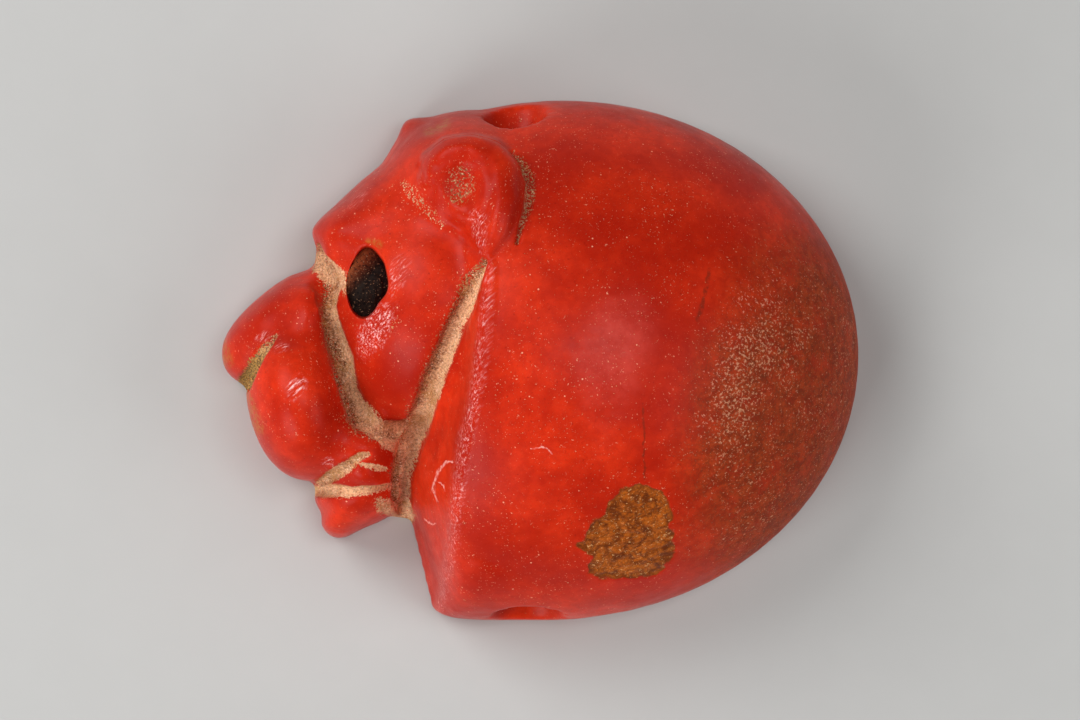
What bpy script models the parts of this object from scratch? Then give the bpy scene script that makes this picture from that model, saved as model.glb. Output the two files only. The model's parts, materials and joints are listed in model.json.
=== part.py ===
"""Stamp seal in the shape of a lion's head, carved in the half round from one piece of red stone.

It lies on its flat seal face, with the head's profile up and facing -X. A bore for a cord runs
through it from the top of the mane to its foot, and the eye socket holds a rest of dark fill.
Run with: blender --background --python part.py
"""

import math

import bmesh
import bpy
from mathutils import Matrix, Vector

# Driving sizes of the whole stone, in metres
LENGTH = 0.032
WIDTH = 0.0262
THICKNESS = 0.0135
CONTOUR_HEIGHT = 0.0016

# Cord bore, drilled from both ends, with worn mouths
BORE_DIAMETER = 0.0023
MOUTH_DIAMETER = 0.0038
MOUTH_DEPTH = 0.0026
TOP_MOUTH_HEIGHT = 0.0053
FOOT_MOUTH_HEIGHT = 0.0038

# Eye socket and the dark fill left in it
SOCKET_WIDTH = 0.0020
SOCKET_LENGTH = 0.0034
SOCKET_DEPTH = 0.0017
FILL_GAP = 0.0003
FILL_RECESS = 0.0007

# Hollow of the ear
EAR_CUP_WIDTH = 0.0021
EAR_CUP_LENGTH = 0.0026
EAR_CUP_DEPTH = 0.0006

# Carved lines: the width of each cut, and its depth as a share of that width
CHEEK_LINE_WIDTH = 0.0008
MANE_LINE_WIDTH = 0.0009
NOSTRIL_LINE_WIDTH = 0.0005
MOUTH_LINE_WIDTH = 0.0005
EAR_LINE_WIDTH = 0.0005
LINE_DEPTH_SHARE = 0.5

# Seal face: two small beasts made of drilled pits and short strokes
PIT_DEPTH = 0.0004
BEAST_LENGTH = 0.0078
BEAST_SPACING = 0.0098
BEAST_X = 0.0012

# Surface of the blocked-out stone
BLOCKOUT_CELL = 0.00030
SMOOTH_PASSES = 7
FLAT_TOLERANCE = 1e-5
FACE_SHARE_KEPT = 0.112
TRACE_STEP = 0.7

# Fineness of the round shapes: segments round and from pole to pole
MASS_SEGMENTS = (64, 40)
HOLLOW_SEGMENTS = (20, 12)
FILL_SEGMENTS = (16, 10)
PIT_SEGMENTS = (12, 6)
STROKE_SEGMENTS = (8, 6)
BORE_STEPS = 28

# The forms below are laid out on a seal 32 mm long, 26.2 mm wide, rising 11.9 mm over its contour
DRAWN_LENGTH = 32.0
DRAWN_WIDTH = 26.2
DRAWN_RISE = 11.9
STEP_X = LENGTH / DRAWN_LENGTH
STEP_Y = WIDTH / DRAWN_WIDTH
STEP_Z = (THICKNESS - CONTOUR_HEIGHT) / DRAWN_RISE

# Rounded masses of the stone: centre (x, y, height over the contour), radii (x, y, up), turn in
# degrees, and how square the plan is, from 2 for an ellipse
MASSES = {
    "crown": ((-3.8, 8.3, 0.0), (4.25, 4.25, 9.2), 14, 2.2),
    "skull": ((-4.9, 3.0, 0.0), (6.25, 7.4, 9.4), 0, 2.2),
    "forehead": ((-8.05, 6.75, 0.8), (4.0, 2.3, 6.4), 43, 2.8),
    "brow": ((-9.95, 6.32, 2.2), (1.8, 1.3, 4.6), 43, 2.4),
    "nose": ((-13.25, 2.08, 0.8), (3.4, 1.38, 4.2), 41, 2.3),
    "nose_tip": ((-15.1, 0.08, 0.4), (0.9, 1.22, 3.0), 20, 2.2),
    "nose_root": ((-11.45, 2.1, 1.0), (1.6, 2.3, 5.2), 15, 2.2),
    "muzzle": ((-11.95, -2.0, 2.8), (2.7, 4.1, 5.0), 12, 2.2),
    "upper_lip": ((-9.0, -4.5, 1.6), (2.7, 2.5, 4.9), -20, 2.2),
    "jaw": ((-8.8, -6.6, 0.6), (2.7, 1.7, 4.3), 25, 2.3),
    "chin": ((-10.1, -7.85, 0.4), (1.0, 1.15, 3.2), 15, 2.4),
    "ear": ((-3.15, 8.6, 8.2), (2.7, 2.3, 1.8), -30, 2.2),
    "ear_lobe": ((-2.1, 6.6, 8.9), (1.2, 2.6, 1.95), -15, 2.2),
    "crest": ((-6.3, 11.3, 0.8), (0.75, 0.95, 2.4), 0, 2.2),
}

# The mane: its egg and the square foot in front, laid out as the masses are
MANE = ((0.96, 0.02, 0.0), (15.1, 13.06, 11.9), 2.9, 2.0)
FOOT = ((-1.0, -7.0, 0.0), (6.0, 6.1, 8.4), 0.0, 4.5)
DRAWN_DEPTH = 16.0

# Planes that cut the mane off in front: a point of each, its lean back and its turn, in degrees
FRONT_PLANE = ((-3.1, -4.0, 11.9), 19.0, 4.0)
FOOT_PLANE = ((-5.2, -12.5, 0.0), 14.0, -14.4)

# Carved lines, as points of the profile with the share of the line's full width at each
CHEEK_LINE = (
    (-11.0, 4.6, 1.1), (-10.7, 3.0, 1.3), (-10.5, 1.6, 1.0), (-10.1, 0.2, 0.9), (-9.5, -1.3, 0.9),
    (-9.15, -2.4, 1.1), (-8.6, -3.2, 1.5), (-7.4, -3.5, 1.1), (-6.2, -3.5, 1.2),
)
MANE_LINE = (
    (-2.7, 4.9, 0.35), (-3.1, 3.8, 0.8), (-4.1, 1.3, 1.0), (-5.4, -1.4, 1.0), (-6.1, -3.5, 1.1),
    (-6.6, -5.8, 0.9), (-6.8, -8.0, 0.8),
)
NOSTRIL_LINE = ((-15.0, -1.6, 1.2), (-14.4, -0.5, 1.1), (-13.8, 0.3, 0.9), (-13.4, 1.0, 0.5))
MOUTH_LINE = ((-11.6, -6.5, 1.0), (-10.3, -5.8, 1.1), (-9.5, -5.2, 0.9), (-9.0, -4.6, 0.6))
LIP_LINE = ((-11.6, -6.5, 0.9), (-9.8, -6.5, 0.8), (-8.6, -6.6, 0.7), (-7.4, -6.5, 0.6))
CORNER_LINE = ((-9.1, -5.3, 0.6), (-8.3, -5.45, 0.6), (-7.5, -5.5, 0.4))
EAR_LINE = (
    (-1.5, 10.4, 0.6), (-0.8, 9.9, 0.9), (-0.35, 8.8, 1.0), (-0.45, 7.6, 0.9), (-0.9, 6.7, 0.5),
)

# Places on the profile
EYE = (-8.7, 3.9)
EYE_TURN = -8.0
EAR_CUP = (-3.9, 8.65)
CREST_HOLLOW = (-5.2, 11.6)
CREST_HOLLOW_SIZE = (0.0011, 0.0009, 0.00015)
TOP_MOUTH_X = -1.3
FOOT_MOUTH_X = -0.6

STONE_RED = (0.60, 0.035, 0.012, 1.0)
FILL_BLACK = (0.012, 0.009, 0.008, 1.0)

# A beast of the seal face, as shares of its length: pits (x, y, radius) and strokes (start, end)
BEAST_PITS = ((-0.27, 0.0, 0.145), (0.0, 0.0, 0.115), (0.26, 0.0, 0.135), (0.46, 0.18, 0.085))
BEAST_LEGS = ((-0.35, -0.40), (-0.20, -0.20), (0.20, 0.20), (0.33, 0.39))
LEG_TOP = -0.21
LEG_FOOT = -0.42
TAIL_ROOT = (-0.44, 0.13)
TAIL_TIP = (-0.54, 0.36)
STROKE_RADIUS_SHARE = 0.040


def place(x, y, rise=0.0):
    """A point of the drawn seal, given in its millimetres, as a point of this one in metres."""
    return Vector((x * STEP_X, y * STEP_Y, CONTOUR_HEIGHT + rise * STEP_Z))


def clear_scene():
    for obj in list(bpy.data.objects):
        bpy.data.objects.remove(obj, do_unlink=True)


def new_collection(name):
    collection = bpy.data.collections.new(name)
    bpy.context.scene.collection.children.link(collection)
    return collection


def add_object(name, mesh, collection):
    obj = bpy.data.objects.new(name, mesh)
    collection.objects.link(obj)
    return obj


def add_cutter(name, mesh, cutters):
    """A closed helper solid that is cut away and never shown."""
    obj = add_object(name, mesh, cutters)
    obj.hide_render = True
    obj.display_type = "WIRE"
    return obj


def evaluated_mesh(obj):
    """A new mesh of the object as its modifiers leave it."""
    bpy.context.view_layer.update()
    graph = bpy.context.evaluated_depsgraph_get()
    return bpy.data.meshes.new_from_object(obj.evaluated_get(graph))


def mesh_from(build):
    """A mesh with its points and faces in the order of their places, so that no run differs."""
    verts = sorted(build.verts, key=lambda vert: vert.co[:])
    for number, vert in enumerate(verts):
        vert.index = number
    faces = []
    for face in build.faces:
        loop = [vert.index for vert in face.verts]
        start = loop.index(min(loop))
        faces.append(loop[start:] + loop[:start])
    mesh = bpy.data.meshes.new("shape")
    mesh.from_pydata([vert.co[:] for vert in verts], [], sorted(faces))
    build.free()
    return mesh


def made_mesh(curve):
    """The mesh of a curve with its caps welded on, so that it can be cut or joined."""
    guide = bpy.data.objects.new("guide", curve)
    bpy.context.scene.collection.objects.link(guide)
    mesh = evaluated_mesh(guide)
    bpy.data.objects.remove(guide, do_unlink=True)
    build = bmesh.new()
    build.from_mesh(mesh)
    bmesh.ops.remove_doubles(build, verts=build.verts, dist=1e-6)
    bmesh.ops.recalc_face_normals(build, faces=build.faces)
    build.to_mesh(mesh)
    build.free()
    return mesh


def add_ball(build, segments, matrix):
    around, along = segments
    bmesh.ops.create_uvsphere(
        build, u_segments=around, v_segments=along, radius=1.0, matrix=matrix
    )


def add_mass(build, centre, radii, turn, square):
    """A rounded mass: a dome over its widest section, which runs on down past the seal face."""
    mass = bmesh.new()
    add_ball(mass, MASS_SEGMENTS, Matrix.Identity(4))
    for vert in mass.verts:
        reach = math.hypot(vert.co.x, vert.co.y)
        if reach > 0:
            along, across = abs(vert.co.x) / reach, abs(vert.co.y) / reach
            bulge = (along**square + across**square) ** (-1 / square)
            vert.co.x *= radii[0] * bulge
            vert.co.y *= radii[1] * bulge
        vert.co.z *= radii[2] if vert.co.z > 0 else DRAWN_DEPTH
    stretch = Matrix.Diagonal((STEP_X, STEP_Y, STEP_Z, 1.0))
    turned = Matrix.Rotation(math.radians(turn), 4, "Z")
    mass.transform(Matrix.Translation(place(*centre)) @ stretch @ turned)
    take_in(build, mass)


def take_in(build, piece):
    """Adds a finished piece to the blockout."""
    mesh = mesh_from(piece)
    build.from_mesh(mesh)
    bpy.data.meshes.remove(mesh)


def cut_front(build, point, lean, turn):
    """Cuts off what lies in front of a plane that leans back, and closes the mesh there."""
    lean = math.radians(lean)
    normal = Matrix.Rotation(math.radians(-turn), 3, "Z") @ Vector(
        (-math.cos(lean), 0.0, math.sin(lean))
    )
    sliced = bmesh.ops.bisect_plane(
        build,
        geom=build.verts[:] + build.edges[:] + build.faces[:],
        plane_co=place(*point),
        plane_no=normal,
        clear_outer=True,
    )
    rim = [item for item in sliced["geom_cut"] if isinstance(item, bmesh.types.BMEdge)]
    bmesh.ops.contextual_create(build, geom=rim)


def add_mane(build):
    """The mane's egg and its foot, each cut off in front by the same two planes."""
    for form in (MANE, FOOT):
        piece = bmesh.new()
        add_mass(piece, *form)
        cut_front(piece, *FRONT_PLANE)
        cut_front(piece, *FOOT_PLANE)
        take_in(build, piece)


def block_out(seals):
    """All masses run together into one closed, softened skin."""
    build = bmesh.new()
    for mass in MASSES.values():
        add_mass(build, *mass)
    add_mane(build)
    blocked = add_object("blockout", mesh_from(build), seals)
    skin = blocked.modifiers.new("one_skin", "REMESH")
    skin.mode = "VOXEL"
    skin.voxel_size = BLOCKOUT_CELL
    soften = blocked.modifiers.new("soften", "SMOOTH")
    soften.factor = 0.5
    soften.iterations = SMOOTH_PASSES
    soft = evaluated_mesh(blocked)
    blocked.modifiers.clear()
    blocked.data = flattened_below(soft)
    thin = blocked.modifiers.new("fewer_faces", "DECIMATE")
    thin.ratio = FACE_SHARE_KEPT
    seal = add_object("seal_body", evaluated_mesh(blocked), seals)
    bpy.data.objects.remove(blocked, do_unlink=True)
    for vert in seal.data.vertices:
        if abs(vert.co.z) < FLAT_TOLERANCE:
            vert.co.z = 0.0
    bpy.context.view_layer.update()
    return seal


def flattened_below(mesh):
    """The skin cut off at the seal face and closed there with flat faces."""
    build = bmesh.new()
    build.from_mesh(mesh)
    sliced = bmesh.ops.bisect_plane(
        build,
        geom=build.verts[:] + build.edges[:] + build.faces[:],
        plane_co=(0.0, 0.0, 0.0),
        plane_no=(0.0, 0.0, -1.0),
        clear_outer=True,
    )
    rim = [item for item in sliced["geom_cut"] if isinstance(item, bmesh.types.BMEdge)]
    bmesh.ops.contextual_create(build, geom=rim)
    bmesh.ops.recalc_face_normals(build, faces=build.faces)
    closed = mesh_from(build)
    build = bmesh.new()
    build.from_mesh(closed)
    bmesh.ops.triangulate(build, faces=[face for face in build.faces if len(face.verts) > 4])
    build.to_mesh(closed)
    build.free()
    return closed


def surface_height(seal, x, y):
    """Height of the blocked-out stone's upper surface over a point of the seal face."""
    hit, point, _, _ = seal.ray_cast(Vector((x, y, 2 * THICKNESS)), Vector((0.0, 0.0, -1.0)))
    return point.z if hit else CONTOUR_HEIGHT


def traced_line(seal, line, width):
    """Close places along a drawn line, each at the surface's own height, with the width's share."""
    traced = []
    for start, end in zip(line, line[1:]):
        run = math.hypot(end[0] - start[0], end[1] - start[1])
        steps = max(1, round(run / TRACE_STEP))
        for step in range(steps):
            traced.append([a + (b - a) * step / steps for a, b in zip(start, end)])
    traced.append(line[-1])
    spots = []
    for x, y, share in traced:
        spot = place(x, y)
        sunk = width * share * (0.5 - LINE_DEPTH_SHARE)
        spot.z = surface_height(seal, spot.x, spot.y) + sunk
        spots.append((spot, share))
    return spots


def line_cutter(name, seal, line, width, cutters):
    """A tube laid along the surface, which leaves a round-bottomed groove of the given width."""
    curve = bpy.data.curves.new(name, "CURVE")
    curve.dimensions = "3D"
    curve.bevel_depth = width / 2
    curve.bevel_resolution = 2
    curve.use_fill_caps = True
    spots = traced_line(seal, line, width)
    spline = curve.splines.new("POLY")
    spline.points.add(len(spots) - 1)
    for point, (spot, share) in zip(spline.points, spots):
        point.co = (*spot, 1.0)
        point.radius = share
    return add_cutter(name, made_mesh(curve), cutters)


def hollow_cutter(name, seal, spot, size, turn, cutters):
    """An ellipsoid centred on the surface: size is the hollow's width, length and depth."""
    centre = place(*spot)
    centre.z = surface_height(seal, centre.x, centre.y)
    width, length, depth = size
    matrix = (
        Matrix.Translation(centre)
        @ Matrix.Rotation(math.radians(turn), 4, "Z")
        @ Matrix.Diagonal((width / 2, length / 2, depth, 1.0))
    )
    build = bmesh.new()
    add_ball(build, HOLLOW_SEGMENTS, matrix)
    return add_cutter(name, mesh_from(build), cutters)


def bore_cutter(cutters):
    """The bore's two mouths narrow to one straight middle, along a line that dips to the foot."""
    top = place(TOP_MOUTH_X, DRAWN_WIDTH / 2)
    top.z = TOP_MOUTH_HEIGHT
    foot = place(FOOT_MOUTH_X, -DRAWN_WIDTH / 2)
    foot.z = FOOT_MOUTH_HEIGHT
    run = (foot - top).length
    past = MOUTH_DIAMETER / 2
    flare = (MOUTH_DIAMETER - BORE_DIAMETER) / 2
    profile = (
        (0.0, -run / 2 - past),
        (MOUTH_DIAMETER / 2 + flare * past / MOUTH_DEPTH, -run / 2 - past),
        (BORE_DIAMETER / 2, -run / 2 + MOUTH_DEPTH),
        (BORE_DIAMETER / 2, run / 2 - MOUTH_DEPTH),
        (MOUTH_DIAMETER / 2 + flare * past / MOUTH_DEPTH, run / 2 + past),
        (0.0, run / 2 + past),
    )
    build = bmesh.new()
    verts = [build.verts.new((radius, 0.0, along)) for radius, along in profile]
    edges = [build.edges.new(pair) for pair in zip(verts, verts[1:])]
    bmesh.ops.spin(
        build,
        geom=verts + edges,
        cent=(0.0, 0.0, 0.0),
        axis=(0.0, 0.0, 1.0),
        angle=2 * math.pi,
        steps=BORE_STEPS,
        use_merge=True,
    )
    bmesh.ops.remove_doubles(build, verts=build.verts, dist=1e-7)
    bmesh.ops.recalc_face_normals(build, faces=build.faces)
    aim = (foot - top).to_track_quat("Z", "X").to_matrix().to_4x4()
    build.transform(Matrix.Translation((top + foot) / 2) @ aim)
    return add_cutter("cord_bore", mesh_from(build), cutters)


def beast_cutter(name, middle, facing, cutters):
    """One small four-legged beast of drilled pits, legs and a raised tail."""
    build = bmesh.new()

    def sunk(x, y):
        return Vector((middle[0] + facing * x * BEAST_LENGTH, middle[1] + y * BEAST_LENGTH, 0.0))

    for x, y, radius in BEAST_PITS:
        size = Matrix.Diagonal((radius * BEAST_LENGTH, radius * BEAST_LENGTH, PIT_DEPTH, 1.0))
        add_ball(build, PIT_SEGMENTS, Matrix.Translation(sunk(x, y)) @ size)
    strokes = [((top, LEG_TOP), (foot, LEG_FOOT)) for top, foot in BEAST_LEGS]
    strokes.append((TAIL_ROOT, TAIL_TIP))
    for start, end in strokes:
        a, b = sunk(*start), sunk(*end)
        reach = (b - a).length / 2 + STROKE_RADIUS_SHARE * BEAST_LENGTH
        matrix = (
            Matrix.Translation((a + b) / 2)
            @ Matrix.Rotation(math.atan2(b.y - a.y, b.x - a.x), 4, "Z")
            @ Matrix.Diagonal((reach, STROKE_RADIUS_SHARE * BEAST_LENGTH, PIT_DEPTH * 0.8, 1.0))
        )
        add_ball(build, STROKE_SEGMENTS, matrix)
    return add_cutter(name, mesh_from(build), cutters)


def cut(seal, cutter):
    cut_away = seal.modifiers.new(cutter.name, "BOOLEAN")
    cut_away.operation = "DIFFERENCE"
    cut_away.object = cutter


def stone_material():
    material = bpy.data.materials.new("red_stone")
    material.use_nodes = True
    shader = material.node_tree.nodes["Principled BSDF"]
    shader.inputs["Base Color"].default_value = STONE_RED
    shader.inputs["Roughness"].default_value = 0.35
    shader.inputs["Metallic"].default_value = 0.0
    return material


def fill_material():
    material = bpy.data.materials.new("dark_fill")
    material.use_nodes = True
    shader = material.node_tree.nodes["Principled BSDF"]
    shader.inputs["Base Color"].default_value = FILL_BLACK
    shader.inputs["Roughness"].default_value = 0.85
    shader.inputs["Metallic"].default_value = 0.0
    return material


def carve_seal(seals, cutters):
    """The stone: masses first, then carved lines, then the flat face and the drilled holes."""
    seal = block_out(seals)
    tools = [
        line_cutter("cheek_line", seal, CHEEK_LINE, CHEEK_LINE_WIDTH, cutters),
        line_cutter("mane_line", seal, MANE_LINE, MANE_LINE_WIDTH, cutters),
        line_cutter("nostril_line", seal, NOSTRIL_LINE, NOSTRIL_LINE_WIDTH, cutters),
        line_cutter("mouth_line", seal, MOUTH_LINE, MOUTH_LINE_WIDTH, cutters),
        line_cutter("lip_line", seal, LIP_LINE, MOUTH_LINE_WIDTH, cutters),
        line_cutter("mouth_corner_line", seal, CORNER_LINE, MOUTH_LINE_WIDTH, cutters),
        line_cutter("ear_line", seal, EAR_LINE, EAR_LINE_WIDTH, cutters),
        hollow_cutter(
            "ear_cup",
            seal,
            EAR_CUP,
            (EAR_CUP_WIDTH, EAR_CUP_LENGTH, EAR_CUP_DEPTH),
            0.0,
            cutters,
        ),
        hollow_cutter("crest_hollow", seal, CREST_HOLLOW, CREST_HOLLOW_SIZE, 0.0, cutters),
    ]
    socket = hollow_cutter(
        "eye_socket",
        seal,
        EYE,
        (SOCKET_WIDTH, SOCKET_LENGTH, SOCKET_DEPTH),
        EYE_TURN,
        cutters,
    )
    floor = surface_height(seal, *place(*EYE).xy) - SOCKET_DEPTH
    for tool in tools:
        cut(seal, tool)
    cut(seal, socket)
    cut(seal, bore_cutter(cutters))
    cut(seal, beast_cutter("upper_beast", (BEAST_X, BEAST_SPACING / 2), -1, cutters))
    cut(seal, beast_cutter("lower_beast", (BEAST_X, -BEAST_SPACING / 2), 1, cutters))
    seal.data.materials.append(stone_material())
    return floor


def fill_eye(floor, seals):
    """The rest of the fill: a lump that lies in the socket and stays under its rim."""
    low = floor + FILL_GAP
    high = floor + SOCKET_DEPTH - FILL_RECESS
    matrix = (
        Matrix.Translation(Vector((*place(*EYE).xy, (low + high) / 2)))
        @ Matrix.Rotation(math.radians(EYE_TURN), 4, "Z")
        @ Matrix.Diagonal(
            (
                SOCKET_WIDTH / 2 - 1.5 * FILL_GAP,
                SOCKET_LENGTH / 2 - 2 * FILL_GAP,
                (high - low) / 2,
                1.0,
            )
        )
    )
    build = bmesh.new()
    add_ball(build, FILL_SEGMENTS, matrix)
    fill = add_object("eye_fill", mesh_from(build), seals)
    fill.data.materials.append(fill_material())


def main():
    clear_scene()
    seals = new_collection("stamp_seal")
    cutters = new_collection("cutters")
    floor = carve_seal(seals, cutters)
    fill_eye(floor, seals)
    for obj in seals.objects:
        obj.data.shade_smooth()


main()
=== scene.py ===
import json
import math

import bmesh
import bpy
import numpy as np
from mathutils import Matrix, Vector

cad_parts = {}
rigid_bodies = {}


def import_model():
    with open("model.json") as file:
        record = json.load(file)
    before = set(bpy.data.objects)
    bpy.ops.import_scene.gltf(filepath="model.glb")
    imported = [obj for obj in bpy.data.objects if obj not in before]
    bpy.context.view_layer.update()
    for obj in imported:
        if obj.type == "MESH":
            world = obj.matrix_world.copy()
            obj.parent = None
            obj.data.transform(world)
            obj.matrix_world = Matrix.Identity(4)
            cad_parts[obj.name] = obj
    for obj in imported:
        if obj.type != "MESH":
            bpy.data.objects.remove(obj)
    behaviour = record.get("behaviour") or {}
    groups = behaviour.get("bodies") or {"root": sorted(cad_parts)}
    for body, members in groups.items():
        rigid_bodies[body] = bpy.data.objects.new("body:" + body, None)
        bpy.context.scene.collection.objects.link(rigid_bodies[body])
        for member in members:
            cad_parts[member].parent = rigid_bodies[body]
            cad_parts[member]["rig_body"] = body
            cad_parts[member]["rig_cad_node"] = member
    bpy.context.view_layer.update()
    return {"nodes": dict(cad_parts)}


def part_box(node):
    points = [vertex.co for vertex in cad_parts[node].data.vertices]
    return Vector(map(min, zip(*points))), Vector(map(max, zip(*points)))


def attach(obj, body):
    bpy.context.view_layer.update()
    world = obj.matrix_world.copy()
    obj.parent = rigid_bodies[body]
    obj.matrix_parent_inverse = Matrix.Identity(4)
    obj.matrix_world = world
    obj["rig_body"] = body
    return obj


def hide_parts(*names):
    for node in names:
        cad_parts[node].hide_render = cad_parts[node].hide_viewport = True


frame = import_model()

# The stone
# One piece of red, waxy, slightly translucent stone, sawn flat behind and ground into a lion's head
# in profile. Its lines were cut with a wheel and a point, its ear cup and cord bore were drilled, and
# all was polished. Wear, gritty crusts in the lines and a weathered brown back came later.

# Drawn places are millimetres of a seal DRAWN_LENGTH long, as seen from above, from VIEW_DISTANCE
# over the widest contour.
DRAWN_LENGTH = 32.0
seal_low, seal_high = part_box("seal_body")
MM = (seal_high.x - seal_low.x) / DRAWN_LENGTH
CONTOUR_HEIGHT = 1.6
VIEW_DISTANCE = 482.0
STONE_CELL = 0.18
MELT_PASSES = 45
STONE_TRIANGLES = 188000

# The egg of the mane: middle, half sizes and turn in degrees
EGG_MIDDLE = (0.96, 0.02, 1.6)
EGG_HALVES = (15.07, 13.03, 11.87)
EGG_TURN = 2.9

# Cut lines: each place has the cut's width there
MANE_CUT = (
    (-2.82, 4.93, 0.30), (-3.42, 3.97, 0.78), (-3.77, 2.77, 0.85), (-4.33, 1.56, 0.86),
    (-4.81, 0.35, 0.95), (-5.30, -0.86, 1.00), (-5.70, -2.06, 1.03), (-6.14, -3.22, 1.10),
    (-6.64, -4.53, 1.06), (-6.94, -5.73, 0.96), (-6.99, -6.89, 0.91), (-6.84, -7.54, 0.70),
)
CHEEK_CUT = (
    (-11.17, 5.78, 0.20), (-11.02, 5.18, 0.42), (-10.71, 4.58, 0.85), (-10.41, 3.97, 0.95),
    (-10.54, 3.37, 0.68), (-10.64, 2.77, 0.62), (-10.54, 2.01, 0.74), (-10.26, 0.96, 0.86),
    (-9.93, 0.05, 0.92), (-9.78, -0.86, 0.90), (-9.56, -1.61, 0.86), (-9.31, -2.21, 0.95),
    (-8.95, -2.82, 1.40), (-8.05, -3.50, 0.98), (-7.04, -3.57, 0.86), (-6.34, -3.37, 0.91),
)
NOSTRIL_CUT = (
    (-14.94, -1.31, 0.70), (-14.54, -0.45, 0.60), (-14.08, 0.35, 0.50), (-13.63, 0.86, 0.35),
    (-13.28, 1.31, 0.20),
)
MOUTH_CUT = (
    (-11.07, -6.29, 0.45), (-10.56, -5.94, 0.62), (-10.21, -5.73, 0.66), (-9.61, -5.33, 0.60),
    (-9.05, -4.88, 0.50), (-8.65, -4.75, 0.30),
)
LIP_CUT = (
    (-11.32, -6.59, 0.50), (-10.76, -6.59, 0.66), (-10.21, -6.59, 0.64), (-9.46, -6.69, 0.50),
    (-8.65, -6.54, 0.42), (-7.80, -6.44, 0.38), (-7.24, -6.39, 0.40),
)
CORNER_CUT = ((-8.95, -5.28, 0.25), (-8.45, -5.38, 0.35), (-7.80, -5.48, 0.25))
EAR_BACK_CUT = (
    (-1.36, 10.41, 0.30), (-0.80, 9.86, 0.45), (-0.45, 9.05, 0.55), (-0.45, 8.45, 0.55),
    (-0.60, 7.65, 0.45), (-0.91, 6.74, 0.35), (-1.16, 5.89, 0.20),
)
EAR_FRONT_CUT = (
    (-6.00, 9.75, 0.40), (-5.45, 8.60, 0.70), (-4.75, 7.45, 0.70), (-3.95, 6.35, 0.60),
    (-3.20, 5.50, 0.40),
)

# Each cut with its depth, how much crust is left in it and how pale that crust is
CUTS = (
    (MANE_CUT, 0.42, 1.0, 0.5),
    (CHEEK_CUT, 0.38, 1.0, 0.5),
    (NOSTRIL_CUT, 0.38, 1.0, 0.4),
    (MOUTH_CUT, 0.26, 0.95, 0.5),
    (LIP_CUT, 0.30, 1.0, 0.75),
    (CORNER_CUT, 0.12, 0.9, 0.9),
    (EAR_BACK_CUT, 0.24, 0.46, 0.4),
    (EAR_FRONT_CUT, 0.09, 0.0, 0.0),
)

# Crusts beside the cuts, with how much there is
CRUSTS = (
    (((-8.75, -3.0, 1.2), (-7.9, -3.75, 0.9), (-7.1, -4.5, 0.9)), 0.95),
    (((-7.9, -7.3, 0.9), (-7.2, -7.5, 1.0), (-6.7, -7.9, 1.0)), 0.8),
    (((-11.15, 5.3, 0.3), (-10.95, 4.55, 1.0), (-10.3, 4.1, 1.2)), 0.95),
    (((-10.0, 4.0, 0.9), (-9.8, 3.6, 0.6)), 0.6),
    (((-6.85, 8.85, 0.5), (-5.9, 7.8, 0.8), (-5.0, 6.85, 0.5)), 0.36),
    (((-7.45, 1.5, 0.3), (-7.15, 2.0, 0.5)), 0.30),
)

# Ochre stains
STAINS = (
    ((-15.90, 0.90, 0.6), (-15.85, -0.10, 0.9)),
    ((-14.65, -1.80, 0.4), (-14.30, -3.40, 0.9)),
    ((-10.00, 4.00, 0.7), (-9.75, 3.50, 0.6)),
    ((-8.70, 6.00, 0.3), (-8.05, 5.90, 0.4)),
    ((-5.60, 11.50, 0.5), (-4.70, 11.90, 0.5)),
)

# Raised lines and the foot's front edge, each place with the width there
MANE_EDGE = (
    (-2.41, 4.83, 0.40), (-2.62, 2.92, 0.60), (-2.97, 0.10, 0.70), (-3.32, -2.36, 0.70),
    (-3.82, -4.28, 0.75), (-4.05, -6.14, 0.75), (-4.23, -7.70, 0.70), (-4.48, -9.56, 0.65),
    (-4.73, -11.07, 0.55), (-5.03, -12.68, 0.45),
)
EAR_LOOP = (
    (-5.73, 9.05, 0.70), (-5.53, 10.06, 0.80), (-4.68, 10.71, 0.86), (-3.52, 10.86, 0.91),
    (-2.41, 10.51, 1.11), (-1.76, 9.56, 1.31), (-1.71, 8.05, 1.31), (-2.06, 6.54, 1.01),
    (-2.57, 5.43, 0.60),
)
EAR_STEM = ((-3.10, 7.20, 0.9), (-3.00, 6.40, 1.0), (-2.85, 5.60, 0.6))
FOOT_EDGE = ((-6.60, -7.90, 0.8), (-5.95, -10.0, 1.2), (-5.35, -11.8, 0.8))

# Ovals: middle, half width, half height and turn in degrees
EYE = ((-8.70, 3.90), (1.0, 1.75), -9.0)
EAR_CUP = ((-4.02, 8.80), (1.05, 1.36), -6.0)
CREST_HOLLOW = ((-5.35, 11.85), (0.9, 0.6), 20.0)
LIP_RISE = ((-8.6, -5.95), (0.9, 0.42), -8.0)
CHIN_NOTCH = ((-11.1, -7.65), (0.9, 0.62), 0.0)
BROW_PLAIN = ((-8.3, 7.0), (4.4, 2.7), 38.0)
NOSE_ROOT = ((-12.1, 2.1), (1.7, 1.5), 0.0)
THROAT = ((-6.9, -7.7), (1.0, 0.9), 0.0)
THROAT_CORNER = ((-6.95, -7.45), (0.9, 0.8), 0.0)
BROW_CORNER = ((-11.75, 5.15), (0.95, 1.35), 0.0)
JUNCTION = ((-6.45, -3.75), (0.8, 1.2), -15.0)
EAR_AREA = ((-1.5, 8.8), (2.2, 3.2), 0.0)
PATCH_AREA = ((4.6, -8.8), (2.9, 2.9), 0.0)
BEASTS = ((0.8, 0.0), (6.5, 9.3), 0.0)
WORN_BACK = ((13.6, -3.4), (7.2, 12.0), -12.0)
GRAINY_BACK = ((10.1, 0.6), (2.8, 5.9), -14.0)
FROSTED_AND_SHEEN = ((3.8, 0.2), (2.2, 4.7), -8.0)
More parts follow.
